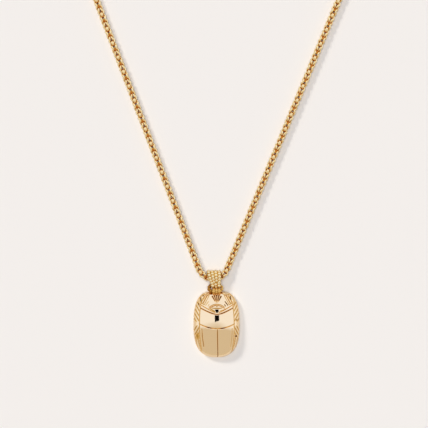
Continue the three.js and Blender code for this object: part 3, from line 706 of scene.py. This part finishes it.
def beaded_ring_shape():
    shape = Shape()
    tilt = math.atan2(RING_RUN_Z, RING_RUN_Y)
    line, length = ring_outline()
    middle = np.array([RING_CENTRE_X, EYE_Y + RING_RUN_Y / 2, EYE_Z - RING_RUN_Z / 2])
    up = [0, math.sin(tilt), math.cos(tilt)]

    def tilted(values):
        return np.stack([values[:, 0], values[:, 1] * math.cos(tilt), -values[:, 1] * math.sin(tilt)], -1)

    picks = length[-1] * (np.arange(RING_BEADS) + 0.5) / RING_BEADS
    for centre in middle + tilted(points_along(line, length, picks)):
        left_end = centre[0] - RING_CENTRE_X < -RING_LEFT_FROM * RING_HALF_WIDTH
        swell = RING_LEFT_SWELL * left_end
        least_shade = RING_LEFT_SHADE if left_end else RING_BEAD_SHADE
        add_bead(shape, centre + [swell, 0, 0], RING_WIRE / 2 + swell, up, least_shade=least_shade)

    flat = points_along(line, length, np.linspace(0, length[-1], RING_THREAD_STEPS, endpoint=False))
    ahead = np.roll(flat, -1, 0) - np.roll(flat, 1, 0)
    ahead /= np.linalg.norm(ahead, axis=1)[:, None]
    ups = np.tile(up, (RING_THREAD_STEPS, 1))
    thread = circle(RING_THREAD_RADIUS, RING_THREAD_SIDES)
    points, faces = sweep(middle + tilted(flat), tilted(ahead), ups, thread, True)
    # The thread carries full painted shade
    shape.add(points, faces, 1.0)
    return shape


# Chain route, as points at a distance s from its lowest point, to the right for s above 0
ARM = CHAIN_ARM_HALF_ANGLE_DEG * DEGREE
LEAN = CHAIN_LEAN_DEG * DEGREE
BEND_CENTRE = CHAIN_BEND_RADIUS / math.sin(ARM)
BACK_CENTRE = CHAIN_BACK_RADIUS / math.sin(ARM)
BEND_TURN = math.pi / 2 - ARM
BEND_LENGTH = CHAIN_BEND_RADIUS * BEND_TURN
ARM_LENGTH = (BACK_CENTRE - BEND_CENTRE) * math.cos(ARM)
HALF_ROUTE = BEND_LENGTH + ARM_LENGTH + CHAIN_BACK_RADIUS * (math.pi - BEND_TURN)
BAIL_INNER_HALF_HEIGHT = CHAIN_WIDTH / 2 + BAIL_CHAIN_CLEARANCE
BAIL_AXIS_Z = BAIL_INNER_HALF_HEIGHT + BAIL_STRAP + BAIL_TABLE_CLEARANCE


def route_point(s):
    """Place of the chain's middle line and the direction in which it runs."""
    length = abs(s)
    if length < BEND_LENGTH:
        turn = length / CHAIN_BEND_RADIUS
        across = CHAIN_BEND_RADIUS * math.sin(turn)
        along = BEND_CENTRE - CHAIN_BEND_RADIUS * math.cos(turn)
    elif length < BEND_LENGTH + ARM_LENGTH:
        run = length - BEND_LENGTH
        turn = BEND_TURN
        across = CHAIN_BEND_RADIUS * math.sin(BEND_TURN) + run * math.sin(ARM)
        along = BEND_CENTRE - CHAIN_BEND_RADIUS * math.cos(BEND_TURN) + run * math.cos(ARM)
    else:
        turn = BEND_TURN + (length - BEND_LENGTH - ARM_LENGTH) / CHAIN_BACK_RADIUS
        across = CHAIN_BACK_RADIUS * math.sin(turn)
        along = BACK_CENTRE - CHAIN_BACK_RADIUS * math.cos(turn)
    side = -1 if s < 0 else 1
    above = along - (BEND_CENTRE - CHAIN_BEND_RADIUS)
    lift = 1 - float(smooth(LIFT_FULL, LIFT_START, length))
    place = np.array([
        CHAIN_LOW_X + side * across * math.cos(LEAN) + above * math.sin(LEAN),
        CHAIN_LOW_Y - side * across * math.sin(LEAN) + above * math.cos(LEAN),
        CHAIN_WIDTH / 2 + lift * (BAIL_AXIS_Z - CHAIN_WIDTH / 2),
    ])
    heading = side * turn - LEAN
    return place, np.array([math.cos(heading), math.sin(heading), 0])


def link_template(radius, steps, sides):
    """One round link in the plane x = 0, with its middle at the origin."""
    outward, ahead = ring_directions(steps, (1, 2))
    return sweep(outward * radius, ahead, outward, circle(LINK_WIRE / 2, sides), True)


LINK = link_template(LINK_RADIUS, LINK_STEPS, LINK_SIDES)
INNER_LINK = link_template(LINK_RADIUS * INNER_LINK_SHARE, INNER_LINK_STEPS, INNER_LINK_SIDES)


def unit_links():
    """A unit's links as mesh, place (along, y, z) in shares of a link's radius, and facing direction."""
    links = []
    for sign in (1, -1):
        links.append((LINK, (0, sign * OPENING_LINKS_OFF, 0), (0, 1, 0)))
        links.append((INNER_LINK, (INNER_LINKS_ALONG, sign * INNER_LINKS_OFF, 0), (0, 1, 0)))
    for sign in (1, -1):
        normal = (sign * math.sin(MIDDLE_LINKS_TILT), 0, math.cos(MIDDLE_LINKS_TILT))
        links.append((LINK, (MIDDLE_LINKS_ALONG, 0, sign * MIDDLE_LINKS_OFF), normal))
    for sign in (1, -1):
        normal = (sign * math.sin(CLOSING_LINKS_TILT), math.cos(CLOSING_LINKS_TILT), 0)
        links.append((LINK, (CLOSING_LINKS_ALONG, sign * CLOSING_LINKS_OFF, 0), normal))
    return links


UNIT_LINKS = unit_links()


def turned_about_x(angle):
    across, up = math.cos(angle), math.sin(angle)
    return np.array([[1, 0, 0], [0, across, -up], [0, up, across]])


def add_links(shape, start, count, unit, phase):
    """Chain units from a distance start along the route; each unit is turned a quarter on from the last."""
    for k in range(count):
        quarter = (k + phase) % 4 * math.pi / 2
        turn = turned_about_x(quarter)
        for (points, faces), place, normal in UNIT_LINKS:
            offset, facing = turn @ np.array(place) * LINK_RADIUS, turn @ np.array(normal)
            middle, ahead = route_point(start + (k + UNIT_START) * unit + offset[0])
            aside = np.cross([0, 0, 1], ahead)
            basis = np.stack([ahead, aside, [0, 0, 1]], -1)
            axis = basis @ facing
            first = np.cross(axis, basis[:, 0])
            first /= np.linalg.norm(first)
            second = np.cross(axis, first)
            away = points @ np.stack([axis, first, second]) + basis @ [0, offset[1], offset[2]]
            reach = np.linalg.norm(away - np.outer(away @ ahead, ahead), axis=1)
            shape.add(middle + away, faces, smooth(*LINK_SHADE_REACH, reach / (CHAIN_WIDTH / 2)))


# Bail, whose closed drop is drawn in the plane x = 0 and then leant
FOOT_Y = EYE_Y + RING_RUN_Y
FOOT_Z = EYE_Z - RING_RUN_Z
TOP_Y = CHAIN_LOW_Y + BAIL_TOP_ABOVE_CHAIN
TOP_INNER_RADIUS_Y = CHAIN_WIDTH / 2 + BAIL_CHAIN_CLEARANCE


def drop_outline(steps):
    """Inner line of the strap, with its outward normals, evenly spaced, and the line's length."""
    points, normals = [], []
    for y, z, ry, rz, start, end in (
        (TOP_Y, BAIL_AXIS_Z, TOP_INNER_RADIUS_Y, BAIL_INNER_HALF_HEIGHT,
         -math.pi / 2 - BAIL_PINCH, math.pi / 2 + BAIL_PINCH),
        (FOOT_Y, FOOT_Z, RING_WIRE / 2 + RING_CLEARANCE, BAIL_FOOT_HALF_HEIGHT,
         math.pi / 2 + BAIL_PINCH, 1.5 * math.pi - BAIL_PINCH),
    ):
        for angle in np.linspace(start, end, BAIL_ARC_STEPS):
            points.append((y + ry * math.cos(angle), z + rz * math.sin(angle)))
            normals.append((math.cos(angle), math.sin(angle)))
    points.append(points[0])
    normals.append(normals[0])
    points, normals = np.array(points), np.array(normals)
    length = running_length(points)
    picks = np.linspace(0, length[-1], steps, endpoint=False)
    out = points_along(normals, length, picks)
    return points_along(points, length, picks), out / np.linalg.norm(out, axis=1)[:, None], length[-1]


def bail_middle(y):
    return BAIL_FOOT_X - math.tan(BAIL_LEAN_DEG * DEGREE) * (y - FOOT_Y)


def bail_half_width(y):
    share = smooth(FOOT_Y - BAIL_FOOT_RUN, TOP_Y + TOP_INNER_RADIUS_Y, y)
    return (BAIL_BOTTOM_WIDTH + (BAIL_TOP_WIDTH - BAIL_BOTTOM_WIDTH) * share) / 2


def add_strap(shape):
    line, out, _ = drop_outline(BAIL_STRAP_STEPS)
    rows = []
    for (y, z), (ny, nz) in zip(line, out):
        half = float(bail_half_width(y))
        row = []
        for across, rise in ((-1, 0), (1, 0), (1, BAIL_STRAP), (-1, BAIL_STRAP)):
            py = y + ny * rise
            row.append((bail_middle(py) + across * half, py, z + nz * rise))
        rows.append(row)
    shape.add(rows, grid_faces(len(rows), 4, True, True), BAIL_STRAP_SHADE)


def add_bail_beads(shape):
    """Beads in columns, each column half a bead on from the next, and none on the strap's underside."""
    _, _, girth = drop_outline(BAIL_STRAP_STEPS)
    count = round((girth + 2 * math.pi * BAIL_STRAP) / BAIL_BEAD_PITCH)
    line, out, _ = drop_outline(2 * count)
    seat = BAIL_STRAP * BAIL_BEAD_SEAT
    for i in range(count):
        broad = bail_half_width(line[2 * i][0]) > BAIL_FOOT_HALF_WIDTH
        columns = BAIL_COLUMNS if broad else BAIL_COLUMNS_AT_FOOT
        for j in range(columns):
            (y, z), (ny, nz) = line[2 * i + j % 2], out[2 * i + j % 2]
            if nz < BAIL_BARE_BELOW:
                continue
            half = float(bail_half_width(y))
            radius = min(BAIL_BEAD, half / columns * BAIL_BEAD_CROWDING)
            py = y + ny * seat
            across = (2 * j + 1 - columns) / columns * half
            centre = (bail_middle(py) + across, py, z + nz * seat)
            rise = (BAIL_STRAP - seat + BAIL_BEAD_RISE) / radius
            add_bead(shape, centre, radius, (0, ny, nz), rise, BAIL_BEAD_SINK)


def bail_shape():
    shape = Shape()
    add_strap(shape)
    add_bail_beads(shape)
    return shape


# Clasp parts, drawn along X about the middle of the clasp and turned to the chain's heading
CLASP_MIDDLE = route_point(HALF_ROUTE)[0]
CLASP_AXIS_Z = CLASP_EYE_INNER_RADIUS + CLASP_EYE_WIRE
CLASP_EYE_RADIUS = CLASP_EYE_INNER_RADIUS + CLASP_EYE_WIRE / 2


def clasp_place(points, side=1):
    points = np.asarray(points, float) * [side, side, 1]
    turn = np.array([[math.cos(LEAN), math.sin(LEAN), 0], [-math.sin(LEAN), math.cos(LEAN), 0], [0, 0, 1]])
    return points @ turn.T + [CLASP_MIDDLE[0], CLASP_MIDDLE[1], 0]


def end_cap_shape(side):
    shape = Shape()
    radius = CAP_WIDTH / 2
    start = CLASP_EYE_SPAN / 2 + CLASP_EYE_RADIUS
    rows = [[(start + x, share * y, radius + share * z) for y, z in circle(radius, CAP_SIDES)]
            for share, x in CAP_PROFILE]
    points = np.array(rows).reshape(-1, 3)
    faces = grid_faces(len(rows), CAP_SIDES, False, True).tolist()
    ends = [(start, 0, radius), (start + CAP_LENGTH - CAP_HOLLOW, 0, radius)]
    last = (len(rows) - 1) * CAP_SIDES
    for j in range(CAP_SIDES):
        after = (j + 1) % CAP_SIDES
        faces.append([len(points), after, j])
        faces.append([len(points) + 1, last + j, last + after])
    shape.add(clasp_place(np.concatenate([points, ends]), side), faces)
    outward, ahead = ring_directions(CLASP_RING_STEPS, (0, 2))
    centres = np.array([CLASP_EYE_SPAN / 2, 0, CLASP_AXIS_Z]) + outward * CLASP_EYE_RADIUS
    points, faces = sweep(centres, ahead, outward, circle(CLASP_EYE_WIRE / 2, CLASP_WIRE_SIDES), True)
    shape.add(clasp_place(points, side), faces)
    return shape


def curve_points(route, per_span):
    """A smooth line through the given points."""
    route = np.array([route[0], *route, route[-1]], float)
    out = []
    for k in range(1, len(route) - 2):
        p0, p1, p2, p3 = route[k - 1:k + 3]
        for t in np.arange(per_span) / per_span:
            out.append(0.5 * (2 * p1 + (p2 - p0) * t + (2 * p0 - 5 * p1 + 4 * p2 - p3) * t ** 2
                              + (3 * p1 - p0 - 3 * p2 + p3) * t ** 3))
    out.append(route[-1])
    return np.array(out)


def clasp_hook_shape():
    shape = Shape()
    reach = CLASP_EYE_SPAN / 2
    loop_x = reach - HOOK_LOOP_RADIUS
    wire = circle(HOOK_WIRE / 2, CLASP_WIRE_SIDES)
    outward, ahead = ring_directions(CLASP_RING_STEPS, (0, 1))
    centres = np.array([loop_x, 0, CLASP_AXIS_Z]) + outward * HOOK_LOOP_RADIUS
    points, faces = sweep(centres, ahead, outward, wire, True)
    shape.add(clasp_place(points), faces)
    route = [(loop_x - HOOK_LOOP_RADIUS, 0), *HOOK_SHANK, (-loop_x, HOOK_LOOP_RADIUS)]
    for i in range(1, HOOK_TURN_STEPS + 1):
        angle = math.pi / 2 + math.pi * i / HOOK_TURN_STEPS
        route.append((-loop_x + HOOK_LOOP_RADIUS * math.cos(angle), HOOK_LOOP_RADIUS * math.sin(angle)))
    route.append((-loop_x + HOOK_TIP[0], -HOOK_LOOP_RADIUS - HOOK_TIP[1]))
    line = curve_points([(x, y, CLASP_AXIS_Z) for x, y in route], HOOK_SPAN_STEPS)
    ahead = np.gradient(line, axis=0)
    ahead /= np.linalg.norm(ahead, axis=1)[:, None]
    points, faces = sweep(line, ahead, np.tile([0, 0, 1.0], (len(line), 1)), wire, False)
    shape.add(clasp_place(points), faces)
    ball, ball_faces = BEAD
    shape.add(clasp_place(line[-1] + ball * HOOK_WIRE / 2), ball_faces)
    return shape


# Materials, with the wear's noise in cells per metre and the gloss as shares of the roughness
# Share of painted shade at which the gold turns amber
AMBER_SHADE_SHARE = 0.72
WEAR_SCALE = 450
WEAR_DETAIL = 4
WEAR_RANGE = (0.35, 0.7)
GLOSS_RANGE = (0.8, 1.25)


def new_material(name):
    material = bpy.data.materials.new(name)
    material.use_nodes = True
    nodes, links = material.node_tree.nodes, material.node_tree.links
    return material, nodes, links, nodes["Principled BSDF"]


def gold(name, colour, amber, dark, roughness):
    """Polished gold, with painted shade that turns it amber and then dark in its recesses, and faint wear in
    its gloss.
    """
    material, nodes, links, shader = new_material(name)
    shader.inputs["Metallic"].default_value = 1.0
    place = nodes.new("ShaderNodeTexCoord")
    painted_recess_shade = nodes.new("ShaderNodeAttribute")
    painted_recess_shade.attribute_name = "painted_recess_shade"
    tint = nodes.new("ShaderNodeValToRGB")
    tint.color_ramp.elements[0].color = (*colour, 1)
    tint.color_ramp.elements[1].color = (*dark, 1)
    tint.color_ramp.elements.new(AMBER_SHADE_SHARE).color = (*amber, 1)
    links.new(painted_recess_shade.outputs["Fac"], tint.inputs["Fac"])
    links.new(tint.outputs["Color"], shader.inputs["Base Color"])
    wear = nodes.new("ShaderNodeTexNoise")
    wear.inputs["Scale"].default_value = WEAR_SCALE
    wear.inputs["Detail"].default_value = WEAR_DETAIL
    links.new(place.outputs["Object"], wear.inputs["Vector"])
    gloss = nodes.new("ShaderNodeMapRange")
    gloss.inputs["From Min"].default_value, gloss.inputs["From Max"].default_value = WEAR_RANGE
    gloss.inputs["To Min"].default_value = roughness * GLOSS_RANGE[0]
    gloss.inputs["To Max"].default_value = roughness * GLOSS_RANGE[1]
    links.new(wear.outputs["Fac"], gloss.inputs["Value"])
    links.new(gloss.outputs["Result"], shader.inputs["Roughness"])
    return material


# Plain colour of each gold, the amber and dark colours of its painted shade, and its roughness
polished_gold = gold("polished_gold", (1.0, 0.71, 0.39), (0.8, 0.4, 0.06), (0.08, 0.02, 0.015), 0.035)
beaded_gold = gold("beaded_gold", (0.97, 0.73, 0.36), (0.88, 0.5, 0.07), (0.25, 0.04, 0.01), 0.3)
chain_gold = gold("chain_gold", (1.0, 0.75, 0.36), (0.86, 0.43, 0.05), (0.6, 0.17, 0.02), 0.12)


def dress(name, shape, material, slot, *nodes):
    piece = shape.build(name, material)
    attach(piece, "root")
    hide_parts(*nodes)
    return piece


body = scarab_shape()
add_head_eye(body)
dress("carved_scarab", body, polished_gold, "polished_gold", "scarab")
dress("ring_of_beads", beaded_ring_shape(), beaded_gold, "beaded_gold", "beaded_ring")
dress("beaded_bail", bail_shape(), beaded_gold, "beaded_gold", "bail")

# Chain links, in stretches that match the part's own
bail_end = UNITS_IN_BAIL / 2 * CHAIN_UNIT
side_end = bail_end + UNITS_PER_SIDE * CHAIN_UNIT
cap_end = HALF_ROUTE - CLASP_EYE_SPAN / 2 - CLASP_EYE_RADIUS - CAP_LENGTH
back_length = cap_end - CHAIN_END_GAP - side_end
back_units = int(back_length / CHAIN_UNIT)
back_unit = back_length / back_units

middle_links = Shape()
add_links(middle_links, -bail_end, UNITS_IN_BAIL, CHAIN_UNIT, 0)
dress("links_through_bail", middle_links, chain_gold, "chain_gold", "chain_through_bail")
for word, side in (("right", 1), ("left", -1)):
    links = Shape()
    if side > 0:
        add_links(links, bail_end, UNITS_PER_SIDE, CHAIN_UNIT, UNITS_IN_BAIL)
        add_links(links, side_end, back_units, back_unit, UNITS_IN_BAIL + UNITS_PER_SIDE)
    else:
        add_links(links, -side_end, UNITS_PER_SIDE, CHAIN_UNIT, -UNITS_PER_SIDE)
        add_links(links, -side_end - back_length, back_units, back_unit, -UNITS_PER_SIDE - back_units)
    dress(f"links_{word}", links, chain_gold, "chain_gold",
          f"chain_{word}_side", f"chain_{word}_back_1", f"chain_{word}_back_2")
    dress(f"cap_{word}", end_cap_shape(side), polished_gold, "polished_gold", f"end_cap_{word}")
dress("wire_hook", clasp_hook_shape(), polished_gold, "polished_gold", "clasp_hook")

# Pale table, in metres, just below the part, with one colour for what the camera sees and one for reflections
TABLE_REACH = 3.0
TABLE_DROP = 0.00005
TABLE_COLOUR = (0.906, 0.847, 0.763, 1)
TABLE_COLOUR_IN_GOLD = (0.78, 0.78, 0.78, 1)
floor_mesh = bpy.data.meshes.new("table_top")
corners = ((-1, -1), (1, -1), (1, 1), (-1, 1))
floor_points = [(x * TABLE_REACH, y * TABLE_REACH, -TABLE_DROP) for x, y in corners]
floor_mesh.from_pydata(floor_points, [], [(0, 1, 2, 3)])
floor = bpy.data.objects.new("table_top", floor_mesh)
bpy.context.scene.collection.objects.link(floor)
floor_material, floor_nodes, floor_links, floor_shader = new_material("pale_table")
floor_shader.inputs["Roughness"].default_value = 1.0
floor_shader.inputs["Specular IOR Level"].default_value = 0.0
floor_ray = floor_nodes.new("ShaderNodeLightPath")
floor_tint = floor_nodes.new("ShaderNodeMix")
floor_tint.data_type = "RGBA"
floor_tint.inputs["A"].default_value = TABLE_COLOUR
floor_tint.inputs["B"].default_value = TABLE_COLOUR_IN_GOLD
floor_links.new(floor_ray.outputs["Is Glossy Ray"], floor_tint.inputs["Factor"])
floor_links.new(floor_tint.outputs["Result"], floor_shader.inputs["Base Color"])
floor_mesh.materials.append(floor_material)


# Studio: a bright cool tent over the far half and a dimmer one over the near half, both warmer at the horizon.
# Pairs are the start and end of a soft edge, in shares of the direction's length.
FAR_BEND = 0.05
FAR_EDGE = (-0.095, -0.03)
HORIZON_EDGE = (-0.1, 0.35)
TENT_NEAR = (0.66, 0.66, 0.66)
TENT_FAR = (0.93, 1.08, 1.45)
HORIZON_NEAR = (0.66, 0.65, 0.62)
HORIZON_FAR = (0.95, 0.98, 1.0)
CARD_COLOUR = (0.004, 0.003, 0.003)
CARD_SLANT = 0.17
CARD_LEFT = (-0.072, -0.068)
CARD_RIGHT = (0.06, 0.064)
CARD_LOW = (-0.043, -0.039)
CARD_HIGH = (0.073, 0.077)
CARD_ABOVE = (0.5, 0.6)
TENT_ON_TABLE = (0.13, 0.15, 0.22)
BACKDROP = (0.905, 0.863, 0.831)


def studio_world():
    world = bpy.data.worlds.new("studio")
    world.use_nodes = True
    bpy.context.scene.world = world
    nodes, links = world.node_tree.nodes, world.node_tree.links
    background = nodes["Background"]
    place = nodes.new("ShaderNodeTexCoord")
    parts = nodes.new("ShaderNodeSeparateXYZ")
    links.new(place.outputs["Generated"], parts.inputs[0])

    def ramp(value, edge, low=0, high=1):
        node = nodes.new("ShaderNodeMapRange")
        node.interpolation_type = "SMOOTHSTEP"
        for key, number in (("From Min", edge[0]), ("From Max", edge[1]), ("To Min", low), ("To Max", high)):
            node.inputs[key].default_value = number
        links.new(value, node.inputs["Value"])
        return node.outputs["Result"]

    def calculate(operation, first, second):
        node = nodes.new("ShaderNodeMath")
        node.operation = operation
        for socket, value in zip(node.inputs, (first, second)):
            if isinstance(value, (int, float)):
                socket.default_value = value
            else:
                links.new(value, socket)
        return node.outputs[0]

    def blend(factor, first, second):
        node = nodes.new("ShaderNodeMix")
        node.data_type = "RGBA"
        links.new(factor, node.inputs["Factor"])
        for key, value in (("A", first), ("B", second)):
            if isinstance(value, tuple):
                node.inputs[key].default_value = (*value, 1)
            else:
                links.new(value, node.inputs[key])
        return node.outputs["Result"]

    x, y, z = [parts.outputs[axis] for axis in "XYZ"]
    bend = calculate("MULTIPLY", calculate("ABSOLUTE", x, 0), FAR_BEND)
    far = ramp(calculate("ADD", y, bend), FAR_EDGE)
    tent = blend(far, TENT_NEAR, TENT_FAR)
    tent = blend(ramp(z, HORIZON_EDGE), blend(far, HORIZON_NEAR, HORIZON_FAR), tent)

    # A narrow black card that the thorax mirrors
    slanted = calculate("SUBTRACT", y, calculate("MULTIPLY", x, CARD_SLANT))
    card = calculate("MULTIPLY", ramp(x, CARD_LEFT), ramp(x, CARD_RIGHT, 1, 0))
    for edge in (ramp(slanted, CARD_LOW), ramp(y, CARD_HIGH, 1, 0), ramp(z, CARD_ABOVE)):
        card = calculate("MULTIPLY", card, edge)
    tent = blend(card, tent, CARD_COLOUR)

    # The table gets only a little of the tent's light, so that the lamps make its shadows
    seen = nodes.new("ShaderNodeLightPath")
    tent = blend(seen.outputs["Is Diffuse Ray"], tent, TENT_ON_TABLE)
    tent = blend(seen.outputs["Is Camera Ray"], tent, BACKDROP)
    links.new(tent, background.inputs["Color"])


studio_world()

# Lamps, as name, strength, spread in degrees and turn in radians
LAMPS = (
    ("overhead_light", 1.83, 30, (-0.02, -0.05, 0)),
    ("window_light", 1.42, 12, (-0.58, -0.78, 0)))
for name, energy, spread, turn in LAMPS:
    lamp_data = bpy.data.lights.new(name, "SUN")
    lamp_data.energy = energy
    lamp_data.angle = spread * DEGREE
    lamp = bpy.data.objects.new(name, lamp_data)
    lamp.rotation_euler = turn
    lamp.visible_glossy = False
    bpy.context.scene.collection.objects.link(lamp)

# Camera straight above, with the photograph's frame
VIEW_WIDTH = 158.4
VIEW_X = -0.93
VIEW_Y = 40.66
LENS = 135
SENSOR = 36
camera_data = bpy.data.cameras.new("camera")
camera_data.lens = LENS
camera_data.sensor_width = SENSOR
camera_data.clip_start = 0.01
camera_data.clip_end = 20
camera = bpy.data.objects.new("camera", camera_data)
camera.location = (VIEW_X * MM, VIEW_Y * MM, VIEW_WIDTH * LENS / SENSOR * MM)
bpy.context.scene.collection.objects.link(camera)
bpy.context.scene.camera = camera
bpy.context.scene.view_settings.view_transform = "Standard"
